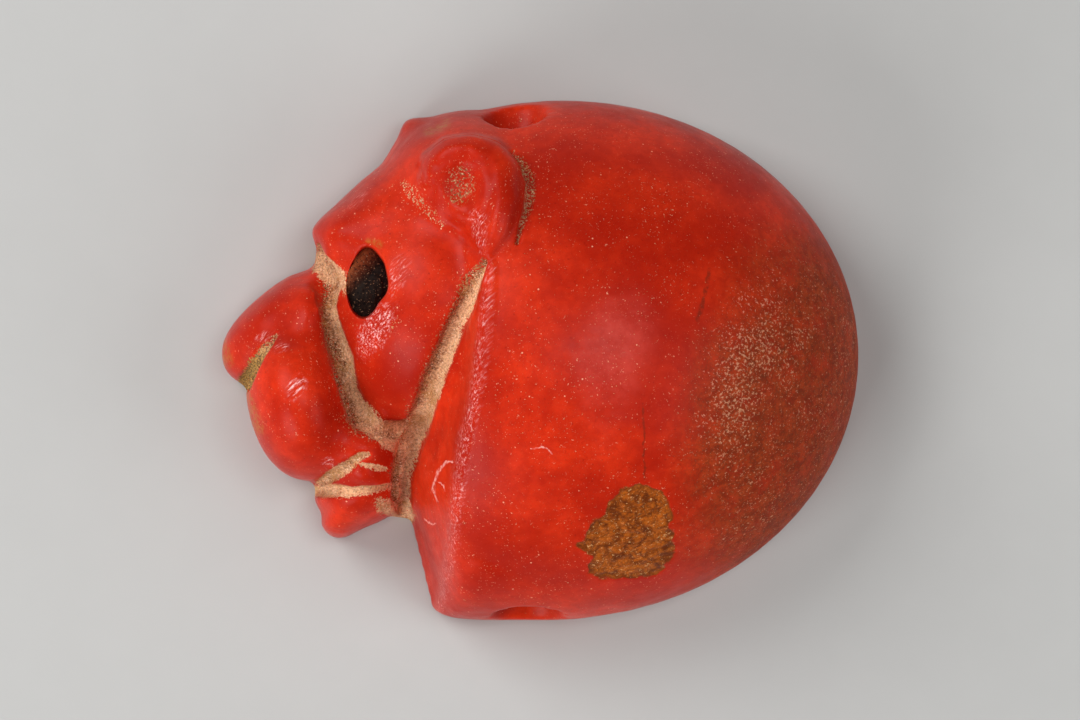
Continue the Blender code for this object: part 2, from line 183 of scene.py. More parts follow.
WORN_PATCH = (((4.58, -9.30), (2.55, 1.90), 8.0), ((5.00, -7.70), (1.75, 1.50), -10.0))

# Places painted a deeper red as shade, with their strength
SHADE_DEEP_REDS = (
    (((-7.2, -0.8), (1.9, 2.4), -25.0), 0.80),
    (((-0.5, -10.3), (5.5, 2.6), 0.0), 0.40),
    (((4.5, 6.5), (6.5, 3.8), -30.0), 0.35),
    (((-1.2, 7.6), (1.1, 2.8), 0.0), 0.40),
    (((-3.2, -3.2), (1.7, 5.2), -8.0), 0.45),
    (((4.4, 1.6), (4.6, 4.8), 0.0), 0.50),
)

# Scuffed places painted pale pink as highlights, with their strength
SCUFF_HIGHLIGHTS = (
    (((-8.25, 1.55), (0.75, 1.55), -28.0), 1.0),
    (((-12.25, -1.35), (0.50, 0.75), -30.0), 0.9),
    (((-10.62, -5.10), (0.36, 0.30), 0.0), 0.7),
    (((-13.0, 0.6), (0.5, 0.3), 30.0), 0.5),
    (((-13.9, 1.2), (0.5, 0.25), 35.0), 0.5),
    (((-9.2, 8.0), (0.55, 0.22), 40.0), 0.5),
    (((-7.2, 4.3), (0.5, 1.2), -20.0), 0.35),
)

# The cord bore's mouths, how far from their middles the skin is left alone, and the eye's socket
TOP_MOUTH = (-1.3, 12.6)
FOOT_MOUTH = (-0.6, -12.9)
MOUTH_MARGIN = (2.4, 3.4)
SOCKET_FLOOR = 7.1
SOCKET_LOWEST = 5.0


def eased(value, low, high):
    """0 at low, 1 at high and a smooth run between them."""
    share = np.clip((value - low) / (high - low), 0.0, 1.0)
    return share * share * (3 - 2 * share)


def line_place(spots, line):
    """Distance from a drawn line and how far to its left side, as shares of half its width there."""
    best = np.full(len(spots), 1e9)
    side = np.zeros(len(spots))
    for (ax, ay, a_width), (bx, by, b_width) in zip(line, line[1:]):
        start = np.array((ax, ay))
        run = np.array((bx - ax, by - ay))
        share = np.clip((spots - start) @ run / (run @ run), 0.0, 1.0)
        half = (a_width + (b_width - a_width) * share) / 2
        away = spots - start - share[:, None] * run
        reach = np.hypot(away[:, 0], away[:, 1]) / half
        turned = (run[0] * away[:, 1] - run[1] * away[:, 0]) / math.hypot(*run) / half
        side = np.where(reach < best, turned, side)
        best = np.minimum(best, reach)
    return best, side


def line_reach(spots, line):
    return line_place(spots, line)[0]


def oval_reach(spots, middle, halves, turn):
    """Distance from the middle of an oval, 1 on its edge."""
    turn = math.radians(turn)
    x = spots[:, 0] - middle[0]
    y = spots[:, 1] - middle[1]
    across = (x * math.cos(turn) + y * math.sin(turn)) / halves[0]
    along = (y * math.cos(turn) - x * math.sin(turn)) / halves[1]
    return np.hypot(across, along)


def cuts_reach(spots):
    return np.min([line_reach(spots, cut[0]) for cut in CUTS], axis=0)


def lumps(points, size, seed):
    """Smooth noise from -1 to 1, its lumps about size millimetres across."""
    where = points / size + seed * 17.31
    cell = np.floor(where).astype(np.int64)
    part = where - cell
    part = part * part * (3 - 2 * part)
    total = np.zeros(len(points))
    for corner in range(8):
        step = np.array([corner & 1, corner >> 1 & 1, corner >> 2 & 1])
        key = (cell + step) @ np.array([73856093, 19349663, 83492791]) + seed * 7919
        key = ((key ^ (key >> 13)) * 1274126177) & 0x7FFFFFFF
        key = ((key ^ (key >> 15)) * 668265263) & 0x7FFFFFFF
        value = (key >> 8 & 0xFFFF) / 0x7FFF - 1.0
        total += value * np.prod(np.where(step, part, 1 - part), axis=1)
    return total


def grain(points, size, seed, octaves=3):
    total = np.zeros(len(points))
    for octave in range(octaves):
        total += lumps(points, size / 2**octave, seed + octave) / 2**octave
    return total / 1.75


def read_mesh(obj):
    """Points in drawn millimetres, their normals, and their places as seen from above."""
    count = len(obj.data.vertices)
    flat = np.empty(count * 3, np.float32)
    obj.data.vertices.foreach_get("co", flat)
    points = flat.reshape(-1, 3).astype(float) / MM
    obj.data.vertex_normals.foreach_get("vector", flat)
    normals = flat.reshape(-1, 3).astype(float)
    seen = points[:, :2] / (1 - (points[:, 2:] - CONTOUR_HEIGHT) / VIEW_DISTANCE)
    return points, normals, seen


def write_mesh(obj, points):
    obj.data.vertices.foreach_set("co", (points * MM).astype(np.float32).reshape(-1))
    obj.data.update()


def smooth_by(obj, name, weights, passes):
    """Smooths the object, each point as strongly as its weight says."""
    group = obj.vertex_groups.new(name=name)
    steps = np.round(weights * 10).astype(int)
    for level in range(1, 11):
        group.add(np.where(steps == level)[0].tolist(), level / 10, "REPLACE")
    modifier = obj.modifiers.new(name, "SMOOTH")
    modifier.factor = 0.5
    modifier.iterations = passes
    modifier.vertex_group = group.name
    bpy.ops.object.modifier_apply(modifier=modifier.name)
    obj.vertex_groups.remove(obj.vertex_groups[name])


def split_where(obj, wanted):
    """Cuts each face whose points are all wanted into four."""
    build = bmesh.new()
    build.from_mesh(obj.data)
    build.verts.ensure_lookup_table()
    edges = [edge for edge in build.edges if all(wanted[vert.index] for vert in edge.verts)]
    bmesh.ops.subdivide_edges(build, edges=edges, cuts=1, use_grid_fill=True)
    build.to_mesh(obj.data)
    build.free()


def put_attribute(obj, name, values):
    layer = obj.data.attributes.new(name, "FLOAT", "POINT")
    layer.data.foreach_set("value", np.clip(values, 0.0, 1.0).astype(np.float32))


bpy.ops.object.select_all(action="DESELECT")
stone = frame["nodes"]["seal_body"].copy()
stone.data = stone.data.copy()
stone.name = stone.data.name = "carved_stone"
stone.parent = None
del stone["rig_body"]
del stone["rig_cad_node"]
bpy.context.scene.collection.objects.link(stone)
stone.select_set(True)
bpy.context.view_layer.objects.active = stone
bpy.ops.object.mode_set(mode="EDIT")
bpy.ops.mesh.select_all(action="SELECT")
bpy.ops.mesh.remove_doubles(threshold=1e-7)
bpy.ops.object.mode_set(mode="OBJECT")
skin = stone.modifiers.new("fine_skin", "REMESH")
skin.mode = "VOXEL"
skin.voxel_size = STONE_CELL * MM
bpy.ops.object.modifier_apply(modifier=skin.name)

# The sawn edge round the reverse is worn smooth.
points, normals, seen = read_mesh(stone)
rim = eased(normals[:, 2], -0.98, -0.85) * (1 - eased(points[:, 2], 0.5, 1.0))
smooth_by(stone, "rim", rim * eased(oval_reach(points, *BEASTS), 1.0, 1.1), 12)
worn_rim = read_mesh(stone)[0]
worn_rim[:, 2] = points[:, 2]
write_mesh(stone, worn_rim)

# The flat reverse needs few faces, and its drilled beasts keep theirs.
points, normals, seen = read_mesh(stone)
reverse = np.where((points[:, 2] < 0.01) & (normals[:, 2] < -0.99))[0]
group = stone.vertex_groups.new(name="reverse")
group.add(reverse.tolist(), 1.0, "REPLACE")
fewer = stone.modifiers.new("fewer_faces", "DECIMATE")
fewer.vertex_group = group.name
fewer.vertex_group_factor = 10.0
fewer.ratio = 1 - 0.9 * len(reverse) / len(points)
bpy.ops.object.modifier_apply(modifier=fewer.name)
stone.vertex_groups.remove(stone.vertex_groups["reverse"])

# The blocked-out forms melt together, away from the outline and the drilled holes.
points, normals, seen = read_mesh(stone)
near_mouth = np.minimum(
    np.hypot(points[:, 0] - TOP_MOUTH[0], points[:, 1] - TOP_MOUTH[1]),
    np.hypot(points[:, 0] - FOOT_MOUTH[0], points[:, 1] - FOOT_MOUTH[1]),
)
off_mouths = eased(near_mouth, *MOUTH_MARGIN)
small_forms = np.minimum(line_reach(seen, NOSTRIL_CUT), line_reach(seen, LIP_CUT))
melt = eased(points[:, 2], 0.5, 1.2) * eased(normals[:, 2], 0.12, 0.45)
melt *= off_mouths * eased(oval_reach(seen, *EYE), 1.1, 1.5)
melt *= 1 - 0.5 * (1 - eased(small_forms, 1.5, 3.5))
smooth_by(stone, "melt", melt, MELT_PASSES)
points, normals, seen = read_mesh(stone)
plain = 1 - eased(oval_reach(seen, *BROW_PLAIN), 0.6, 1.2)
plain = np.maximum(plain, 1 - eased(oval_reach(seen, *NOSE_ROOT), 0.5, 1.1))
plain *= eased(normals[:, 2], 0.08, 0.35) * eased(oval_reach(seen, *EYE), 1.15, 1.7)
smooth_by(stone, "plain", plain, 3 * MELT_PASSES)
points, normals, seen = read_mesh(stone)
throat = (1 - eased(oval_reach(seen, *THROAT), 0.4, 1.2)) * eased(points[:, 2], 0.1, 0.5)
smooth_by(stone, "throat", throat, MELT_PASSES)
points, normals, seen = read_mesh(stone)
walls = (1 - eased(normals[:, 2], 0.3, 0.6)) * eased(points[:, 2], 0.1, 0.5)
walls *= off_mouths * eased(oval_reach(seen, *EYE), 1.1, 1.5)
smooth_by(stone, "walls", walls, 10)
points, normals, seen = read_mesh(stone)
smooth_by(stone, "settle", eased(points[:, 2], 0.02, 0.3), 2)

# The egg of the mane was ground true: its skin goes back onto the egg's own curve.
points, normals, seen = read_mesh(stone)
turn = math.radians(EGG_TURN)
offset = points - np.array(EGG_MIDDLE)
egg_x = (offset[:, 0] * math.cos(turn) + offset[:, 1] * math.sin(turn)) / EGG_HALVES[0]
egg_y = (offset[:, 1] * math.cos(turn) - offset[:, 0] * math.sin(turn)) / EGG_HALVES[1]
egg_reach = np.sqrt(egg_x**2 + egg_y**2 + (offset[:, 2] / EGG_HALVES[2]) ** 2)
true_share = (1 - eased(np.abs(egg_reach - 1), 0.006, 0.014)) * eased(offset[:, 2], 0.3, 1.5)
mane_front = np.interp(seen[:, 1], (-12.7, 4.0, 6.0), (-4.4, -2.0, 0.3))
true_share *= off_mouths * eased(seen[:, 0] - mane_front, 0.0, 1.5)
points += offset * (true_share * (1 / egg_reach - 1))[:, None]

# The foot, the chin and the brow's corner stand a little further back, and the throat is filled.
foot_edge = 1 - eased(line_reach(seen, FOOT_EDGE), 0.2, 1.8)
notch = 1 - eased(oval_reach(seen, *CHIN_NOTCH), 0.0, 1.2)
brow_corner = 1 - eased(oval_reach(seen, *BROW_CORNER), 0.3, 1.2)
points[:, 0] += 0.17 * foot_edge + 0.22 * notch + 0.36 * brow_corner
points[:, 1] -= 0.20 * (1 - eased(oval_reach(seen, *THROAT_CORNER), 0.2, 1.0))
write_mesh(stone, points)

# The carved side gets a finer skin, and the cut lines a finer one still.
points, normals, seen = read_mesh(stone)
carved = (seen[:, 0] < -1.2 + 0.1 * np.minimum(seen[:, 1], 0.0)) & (seen[:, 1] > -9.0)
carved |= oval_reach(seen, *EAR_AREA) < 1
carved |= oval_reach(seen, *PATCH_AREA) < 1
split_where(stone, carved & (points[:, 2] > 0.6))
points, normals, seen = read_mesh(stone)
even = eased(points[:, 2], 0.3, 0.8) * eased(oval_reach(seen, *EYE), 1.05, 1.3)
smooth_by(stone, "even", even, 4)
points, normals, seen = read_mesh(stone)
fine = (cuts_reach(seen) < 1.25) | (np.abs(oval_reach(seen, *EYE) - 1.0) < 0.25)
split_where(stone, fine & (points[:, 2] > 0.8))

# Cuts, hollows and rises, and the crust that clings in them, pale and dense on the right of a cut; that
# paleness is partly painted light, where the cut's wall catches the light
points, normals, seen = read_mesh(stone)
facing = eased(normals[:, 2], 0.0, 0.25)
wobble = 0.28 * grain(points, 0.7, 3) + 0.22 * grain(points, 0.28, 9)
sunk = np.zeros(len(points))
crust = np.zeros(len(points))
paleness = np.full(len(points), 0.5)
for line, depth, share, pale in CUTS:
    reach, side = line_place(seen, line)
    sunk = np.maximum(sunk, depth * (1 - eased(reach, 0.2, 1.4)))
    two_sided = line in (MANE_CUT, CHEEK_CUT)
    outer = np.where(side > 0, 1.15, 1.95) if two_sided else 1.4
    inner = np.where(side > 0, 0.6, 0.1) if two_sided else 0.6
    laid = share * (1 - np.clip((reach + wobble - inner) / (outer - inner), 0, 1))
    # Partly painted light: the crust of the mane and cheek cuts is paler on the right side, where the
    # cut's wall catches the light.
    here = pale + (0.55 * np.clip(side, -0.9, 0.9) if two_sided else 0.0)
    paleness = np.where(laid > crust, here, paleness)
    crust = np.maximum(crust, laid)
for line, share in CRUSTS:
    laid = share * (1 - eased(line_reach(seen, line) + wobble, 0.5, 1.4))
    paleness = np.where(laid > crust, 0.55, paleness)
    crust = np.maximum(crust, laid)
paleness += 0.45 * (1 - eased(oval_reach(seen, *JUNCTION), 0.3, 1.1))
cup_reach = oval_reach(seen, *EAR_CUP)
sunk += 0.30 * (1 - eased(cup_reach, 0.35, 1.12))
sunk += 0.10 * (1 - eased(oval_reach(seen, *CREST_HOLLOW), 0.2, 1.2))
in_cup = 0.40 * (1 - eased(cup_reach + wobble, 0.40, 1.05))
paleness = np.where(in_cup > crust, 0.3, paleness)
crust = np.maximum(crust, in_cup)
raised = 0.10 * (1 - eased(line_reach(seen, MANE_EDGE), 0.0, 1.9))
raised += 0.22 * (1 - eased(line_reach(seen, EAR_LOOP), 0.3, 1.5)) * eased(cup_reach, 0.8, 1.2)
raised += 0.07 * (1 - eased(np.abs(cup_reach - 1.3), 0.0, 0.35))
raised += 0.18 * (1 - eased(oval_reach(seen, *LIP_RISE), 0.2, 1.2))
gritty = crust * (0.045 * grain(points, 0.22, 21, 2) + 0.02)
points += normals * ((raised - sunk + gritty) * facing)[:, None]
eye_reach = oval_reach(seen, *EYE)
near_socket = points[:, 2] > SOCKET_LOWEST
socket = (1 - eased(eye_reach, 0.93, 1.03)) * near_socket
rim_share = (1 - eased(np.abs(eye_reach - 1.0), 0.10, 0.55)) * near_socket
outward = (points[:, :2] - np.array(EYE[0])) / np.maximum(eye_reach, 0.2)[:, None]
rim_wave = 0.13 * lumps(points * (1.0, 1.0, 0.0), 0.95, 33)
points[:, :2] += outward * (rim_share * rim_wave)[:, None]
points[:, 2] += socket * np.minimum(SOCKET_FLOOR - points[:, 2], 0.0)

# The worn patch low on the mane is a crust of small pits with sharp edges between them.
patch_reach = np.minimum(oval_reach(seen, *WORN_PATCH[0]), oval_reach(seen, *WORN_PATCH[1]))
patch_reach += 0.30 * grain(points, 1.3, 41) + 0.12 * grain(points, 0.4, 44)
patch = (1 - eased(patch_reach, 0.80, 1.02)) * eased(points[:, 2], 1.0, 1.6)
pits = 0.5 - np.abs(grain(points, 0.60, 51))
points -= normals * (patch * (0.04 + 0.14 * pits))[:, None]

# Slow unevenness from polishing by hand
swell = 0.016 * grain(points, 3.2, 61, 2) + 0.006 * grain(points, 0.9, 71, 2)
points += normals * (swell * eased(points[:, 2], 0.6, 2.0))[:, None]
write_mesh(stone, points)
bpy.ops.object.shade_smooth()

# Where the surface changed with age: brown and grainy at the back, frosted, scuffed and stained. The
# scuffs also carry painted highlights and the frost a painted sheen.
worn = 1 - eased(oval_reach(seen, *WORN_BACK) + 0.16 * grain(points, 3.0, 81), 0.50, 1.08)
# Less brown low on the sides: partly the wear sparing them, partly painted light, the red standing in
# for light shining through the thin edge.
worn *= 0.45 + 0.55 * eased(points[:, 2] + 0.6 * grain(points, 2.0, 84), 1.6, 3.6)
clusters = grain(points, 1.0, 87)
grainy = 0.62 * worn + 0.40 * (1 - eased(oval_reach(seen, *GRAINY_BACK), 0.2, 1.25))
grainy *= 0.90 + 0.45 * clusters
# Frosted, and painted milky pink there as the broad sheen on the mane's top.
frost_and_sheen = 1 - eased(oval_reach(seen, *FROSTED_AND_SHEEN) + 0.25 * grain(points, 2.2, 91), 0.3, 1.1)
grainy = np.maximum(grainy, 0.42 * frost_and_sheen * (0.8 + 0.5 * clusters)) * eased(points[:, 2], 1.0, 2.0)
# The mane's edge and the ear's stem are painted pale as highlights, like the scuffs.
scuff_and_highlight = 0.42 * (1 - eased(line_reach(seen, MANE_EDGE) + wobble, 0.3, 1.5))
scuff_and_highlight = np.maximum(scuff_and_highlight, 0.55 * (1 - eased(line_reach(seen, EAR_STEM) + wobble, 0.3, 1.2)))
for oval, strength in SCUFF_HIGHLIGHTS:
    scuff_and_highlight = np.maximum(scuff_and_highlight, strength * (1 - eased(oval_reach(seen, *oval) + wobble, 0.5, 1.15)))
stain = np.zeros(len(points))
for line in STAINS:
    stain = np.maximum(stain, 1 - eased(line_reach(seen, line) + wobble, 0.3, 1.4))
stain *= eased(points[:, 2], 0.6, 2.2)
# Painted shade, as a deeper red in the listed places
painted_shade = np.zeros(len(points))
for oval, strength in SHADE_DEEP_REDS:
    painted_shade = np.maximum(painted_shade, strength * (1 - eased(oval_reach(seen, *oval), 0.3, 1.1)))
ochre = eased(-seen[:, 0], 13.2, 14.6)
aged = {"crust": crust, "paleness": paleness, "ochre": ochre, "worn": worn, "grainy": grainy}
aged.update({"frost_and_sheen": frost_and_sheen, "scuff_and_highlight": scuff_and_highlight, "stain": stain, "patch": patch, "painted_shade": painted_shade})
for name, values in aged.items():
    put_attribute(stone, name, values)

# Plain places keep fewer faces than carved ones, and no point leaves the CAD part's box.
triangles = sum(len(face.vertices) - 2 for face in stone.data.polygons)
lean_skin = stone.modifiers.new("lean_skin", "DECIMATE")
lean_skin.ratio = min(1.0, STONE_TRIANGLES / triangles)
bpy.ops.object.modifier_apply(modifier=lean_skin.name)
points = read_mesh(stone)[0]
write_mesh(stone, np.clip(points, np.array(seal_low) / MM, np.array(seal_high) / MM))


def add_node(tree, kind, sockets, **settings):
    """A node with its settings made and each socket given a value or joined to another one."""
    node = tree.nodes.new(kind)
    for key, value in settings.items():
        setattr(node, key, value)
    for key, value in sockets.items():
        if isinstance(value, bpy.types.NodeSocket):
            tree.links.new(value, node.inputs[key])
        else:
            node.inputs[key].default_value = value
    return node


def ramp(tree, value, low, high, start=0.0, end=1.0):
    sockets = {0: value, 1: low, 2: high, 3: start, 4: end}
    return add_node(tree, "ShaderNodeMapRange", sockets, interpolation_type="SMOOTHSTEP").outputs[0]


def sums(tree, kind, *values):
    node = add_node(tree, "ShaderNodeMath", dict(enumerate(values)), operation=kind)
    return node.outputs[0]


def product(tree, *values):
    total = values[0]
    for value in values[1:]:
        total = sums(tree, "MULTIPLY", total, value)
    return total


def blend(tree, share, first, second):
    sockets = {0: share, 6: first, 7: second}
    return add_node(tree, "ShaderNodeMix", sockets, data_type="RGBA").outputs[2]


def noise(tree, place, scale, detail=2.0, rough=0.5, warp=0.0):
    sockets = {"Vector": place, "Scale": scale, "Detail": detail, "Roughness": rough}
    sockets["Distortion"] = warp
    return add_node(tree, "ShaderNodeTexNoise", sockets).outputs[0]


def vectors(tree, kind, first, second):
    return add_node(tree, "ShaderNodeVectorMath", {0: first, 1: second}, operation=kind)


def millimetres(tree, stretch=(1.0, 1.0, 1.0), turn=0.0):
    """Object coordinates in drawn millimetres, stretched and turned about the upright."""
    spot = add_node(tree, "ShaderNodeTexCoord", {}).outputs["Object"]
    if turn:
        turned = {0: spot, 2: (0.0, 0.0, math.radians(turn))}
        spot = add_node(tree, "ShaderNodeMapping", turned).outputs[0]
    scaled = {0: spot, 3: [share / MM for share in stretch]}
    return add_node(tree, "ShaderNodeMapping", scaled).outputs[0]


def attribute(tree, name):
    return add_node(tree, "ShaderNodeAttribute", {}, attribute_name=name).outputs["Fac"]


def scratch(tree, flat, line, width):
    """A fine scratch along a drawn line, 1 on it and 0 beyond its width."""
    total = 0.0
    for start, end in zip(line, line[1:]):
        run = Vector((end[0] - start[0], end[1] - start[1], 0.0))
        away = vectors(tree, "SUBTRACT", flat, (*start, 0.0)).outputs[0]
        share = vectors(tree, "DOT_PRODUCT", away, run / run.length_squared).outputs["Value"]
        share = add_node(tree, "ShaderNodeClamp", {0: share}).outputs[0]
        along = add_node(tree, "ShaderNodeVectorMath", {0: run, "Scale": share}, operation="SCALE")
        gap = vectors(tree, "DISTANCE", away, along.outputs[0]).outputs["Value"]
        total = sums(tree, "MAXIMUM", total, ramp(tree, gap, width * 0.3, width, 1.0, 0.0))
    return total


# Colours of the stone, of its weathered places and of the crusts, each pair from dark to light
CLOUD_REDS = ((0.46, 0.016, 0.004, 1), (0.68, 0.033, 0.007, 1))
MOTTLE_RED = (0.32, 0.007, 0.002, 1)
MOTE_RED = (0.22, 0.005, 0.002, 1)
SHADE_DEEP_RED = (0.34, 0.008, 0.002, 1)
FROST_SHEEN_RED = (0.66, 0.075, 0.055, 1)
SPECK_PINK = (0.85, 0.36, 0.22, 1)
SCUFF_HIGHLIGHT_PINKS = ((0.92, 0.36, 0.34, 1), (1.0, 0.68, 0.66, 1))
BACK_BROWNS = ((0.24, 0.024, 0.004, 1), (0.40, 0.050, 0.009, 1))
BACK_FLECK = (0.13, 0.03, 0.01, 1)
RED_SIDE_GRAIN = (0.85, 0.28, 0.22, 1)
BROWN_SIDE_GRAIN = (0.66, 0.31, 0.17, 1)
STAIN_OCHRE = (0.42, 0.13, 0.02, 1)
AMBERS = ((0.15, 0.028, 0.004, 1), (0.52, 0.120, 0.011, 1))
AMBER_FLECK = (0.10, 0.022, 0.004, 1)
AMBER_EDGE = (0.16, 0.03, 0.006, 1)
AMBER_GLINT = (0.85, 0.48, 0.20, 1)
PALE_SANDS = ((0.44, 0.20, 0.10, 1), (0.84, 0.46, 0.25, 1))
DARK_SANDS = ((0.16, 0.050, 0.020, 1), (0.58, 0.27, 0.13, 1))
GOLDEN_SANDS = ((0.20, 0.07, 0.02, 1), (0.80, 0.38, 0.12, 1))
SAND_SPARKLE = (0.95, 0.70, 0.50, 1)
GREEN_OCHRES = ((0.05, 0.035, 0.012, 1), (0.52, 0.28, 0.06, 1))
SCRATCH_PINK = (0.90, 0.42, 0.36, 1)
FLAW_BROWN = (0.15, 0.02, 0.008, 1)

stone_finish = bpy.data.materials.new("red_stone")
stone_finish.use_nodes = True
tree = stone_finish.node_tree
shader = tree.nodes["Principled BSDF"]
place = millimetres(tree)

# The red itself: broad clouds, finer mottling and dark motes
clouds = ramp(tree, noise(tree, place, 0.28, 3.0, 0.6), 0.35, 0.68)
mottle = ramp(tree, noise(tree, place, 1.9, 4.0, 0.65, 0.4), 0.36, 0.66)
red = blend(tree, clouds, *CLOUD_REDS)
red = blend(tree, mottle, blend(tree, 0.30, red, MOTTLE_RED), red)
motes = ramp(tree, noise(tree, place, 6.0, 2.0, 0.5), 0.66, 0.74, 0.0, 0.4)
red = blend(tree, motes, red, MOTE_RED)
# Painted shade: the red is darkened in the shaded places.
red = blend(tree, attribute(tree, "painted_shade"), red, SHADE_DEEP_RED)
# Milky pink frost, which also paints the broad sheen on the mane's top
frost_sheen_share = attribute(tree, "frost_and_sheen")
milky_sheen = product(tree, frost_sheen_share, ramp(tree, noise(tree, place, 1.1, 4.0, 0.7), 0.3, 0.7, 0.15, 0.5))
red = blend(tree, milky_sheen, red, FROST_SHEEN_RED)

# Pale specks lodged in tiny pores: some large ones, and finer ones in drifts
speck_cells = add_node(tree, "ShaderNodeTexVoronoi", {"Vector": place, "Scale": 2.3})
speck_kind = add_node(tree, "ShaderNodeSeparateColor", {0: speck_cells.outputs["Color"]})
speck_size = ramp(tree, speck_kind.outputs[1], 0.0, 1.0, 0.06, 0.13)
speck_edge = sums(tree, "SUBTRACT", speck_size, speck_cells.outputs["Distance"])
specks = product(tree, ramp(tree, speck_edge, 0.0, 0.05), ramp(tree, speck_kind.outputs[0], 0.72, 0.76))
dust = ramp(tree, noise(tree, place, 8.0, 2.0, 0.6), 0.66, 0.71)
drift = ramp(tree, noise(tree, place, 0.45, 3.0, 0.6), 0.40, 0.60)
dust = product(tree, dust, drift, 0.7)
pale = sums(tree, "MAXIMUM", product(tree, specks, 0.85), dust)
stone_colour = blend(tree, pale, red, SPECK_PINK)

# Fine scuffs painted pale pink as highlights that catch the light, all going up to the right
streaks = noise(tree, millimetres(tree, (1.0, 0.14, 1.0), 50.0), 9.0, 3.0, 0.7)
flash = ramp(tree, noise(tree, place, 3.5, 3.0, 0.7), 0.42, 0.60, 0.35, 1.0)
scuffed_highlight = product(tree, attribute(tree, "scuff_and_highlight"), ramp(tree, streaks, 0.46, 0.60), flash)
stone_colour = blend(tree, product(tree, scuffed_highlight, 0.80), stone_colour, SCUFF_HIGHLIGHT_PINKS[0])
glare = product(tree, scuffed_highlight, ramp(tree, streaks, 0.56, 0.66), 0.85)
stone_colour = blend(tree, glare, stone_colour, SCUFF_HIGHLIGHT_PINKS[1])

# The weathered brown back and its pale grains
worn_share = attribute(tree, "worn")
brown = blend(tree, mottle, *BACK_BROWNS)
brown_fleck = ramp(tree, noise(tree, place, 0.9, 5.0, 0.7), 0.22, 0.6, 0.45, 1.0)
brown_share = product(tree, worn_share, brown_fleck)
stone_colour = blend(tree, brown_share, stone_colour, brown)
fine_brown = ramp(tree, noise(tree, place, 8.0, 3.0, 0.7), 0.45, 0.62, 0.0, 0.55)
stone_colour = blend(tree, product(tree, fine_brown, brown_share), stone_colour, BACK_FLECK)
grain_limit = ramp(tree, attribute(tree, "grainy"), 0.0, 1.0, 0.72, 0.52)
grains = noise(tree, place, 7.5, 3.0, 0.65)
grains = ramp(tree, sums(tree, "SUBTRACT", grains, grain_limit), 0.0, 0.07)
grain_colour = blend(tree, worn_share, RED_SIDE_GRAIN, BROWN_SIDE_GRAIN)
stone_colour = blend(tree, product(tree, grains, 0.75), stone_colour, grain_colour)

# Ochre stains
stain_share = attribute(tree, "stain")
stain_share = product(tree, stain_share, ramp(tree, noise(tree, place, 4.0, 4.0, 0.7), 0.4, 0.6))
stone_colour = blend(tree, product(tree, stain_share, 0.75), stone_colour, STAIN_OCHRE)

# The amber crust of the worn patch
patch_share = attribute(tree, "patch")
amber_share = ramp(tree, noise(tree, place, 1.7, 6.0, 0.72, 0.6), 0.36, 0.62)
amber = blend(tree, amber_share, *AMBERS)
amber_fleck = ramp(tree, noise(tree, place, 7.5, 4.0, 0.75), 0.36, 0.62, 0.55, 0.0)
amber = blend(tree, amber_fleck, amber, AMBER_FLECK)
amber = blend(tree, ramp(tree, patch_share, 0.35, 0.95, 0.7, 0.0), amber, AMBER_EDGE)
# Painted glints of light on the amber crust
glints = ramp(tree, noise(tree, place, 6.5, 3.0, 0.7, 0.8), 0.60, 0.67)
amber = blend(tree, product(tree, glints, 0.70), amber, AMBER_GLINT)
stone_colour = blend(tree, ramp(tree, patch_share, 0.1, 0.5), stone_colour, amber)

# The gritty crust in the cut lines
crust_share = attribute(tree, "crust")
paleness_share = attribute(tree, "paleness")
crust_grain = noise(tree, place, 8.5, 4.0, 0.75)
pale_sand = blend(tree, ramp(tree, crust_grain, 0.34, 0.60), *PALE_SANDS)
dark_sand = blend(tree, ramp(tree, crust_grain, 0.40, 0.62), *DARK_SANDS)
soil = sums(tree, "ADD", paleness_share, product(tree, noise(tree, place, 1.3, 4.0, 0.65), 0.9))
sand = blend(tree, ramp(tree, soil, 0.70, 1.15), dark_sand, pale_sand)
golden = ramp(tree, noise(tree, place, 0.8, 3.0, 0.6), 0.50, 0.68, 0.0, 0.7)
sand = blend(tree, golden, sand, blend(tree, crust_grain, *GOLDEN_SANDS))
sparkle = ramp(tree, noise(tree, place, 13.0, 1.0, 0.5), 0.62, 0.68, 0.0, 0.7)
sand = blend(tree, sparkle, sand, SAND_SPARKLE)
ochre_fleck = ramp(tree, crust_grain, 0.36, 0.66)
green_ochre = blend(tree, ochre_fleck, *GREEN_OCHRES)
sand = blend(tree, product(tree, attribute(tree, "ochre"), 0.85), sand, green_ochre)
scatter = sums(tree, "SUBTRACT", noise(tree, place, 9.0, 3.0, 0.65), 0.5)
crusted = ramp(tree, sums(tree, "ADD", crust_share, product(tree, scatter, 2.6)), 0.42, 0.62)
stone_colour = blend(tree, crusted, stone_colour, sand)

# A few single scratches, pale ones and dark ones, on the upper side only. They shake a little.
SHAKE_WIDTH = 0.3
shake = add_node(tree, "ShaderNodeTexNoise", {"Vector": place, "Scale": 2.2}).outputs["Color"]
shake_offset = (-SHAKE_WIDTH / 2, -SHAKE_WIDTH / 2, 0.0)
shake_sockets = {0: shake, 1: shake_offset, 3: (SHAKE_WIDTH, SHAKE_WIDTH, 0.0)}
shake = add_node(tree, "ShaderNodeMapping", shake_sockets)
flat_place = vectors(tree, "ADD", millimetres(tree, (1.0, 1.0, 0.0)), shake.outputs[0]).outputs[0]
height = add_node(tree, "ShaderNodeSeparateXYZ", {0: place}).outputs[2]
upper_side = ramp(tree, height, 2.0, 2.5)
hook = ((-4.30, -5.00), (-4.65, -5.05), (-5.05, -5.55), (-5.35, -6.35), (-5.10, -7.00))
inner_hook = ((-5.05, -6.05), (-4.80, -6.20), (-4.72, -6.50))
hair = ((-0.40, -4.36), (0.0, -4.28), (0.35, -4.34), (0.58, -4.58))
chip_line = ((-5.75, -7.95), (-5.45, -8.20), (-5.20, -8.15))
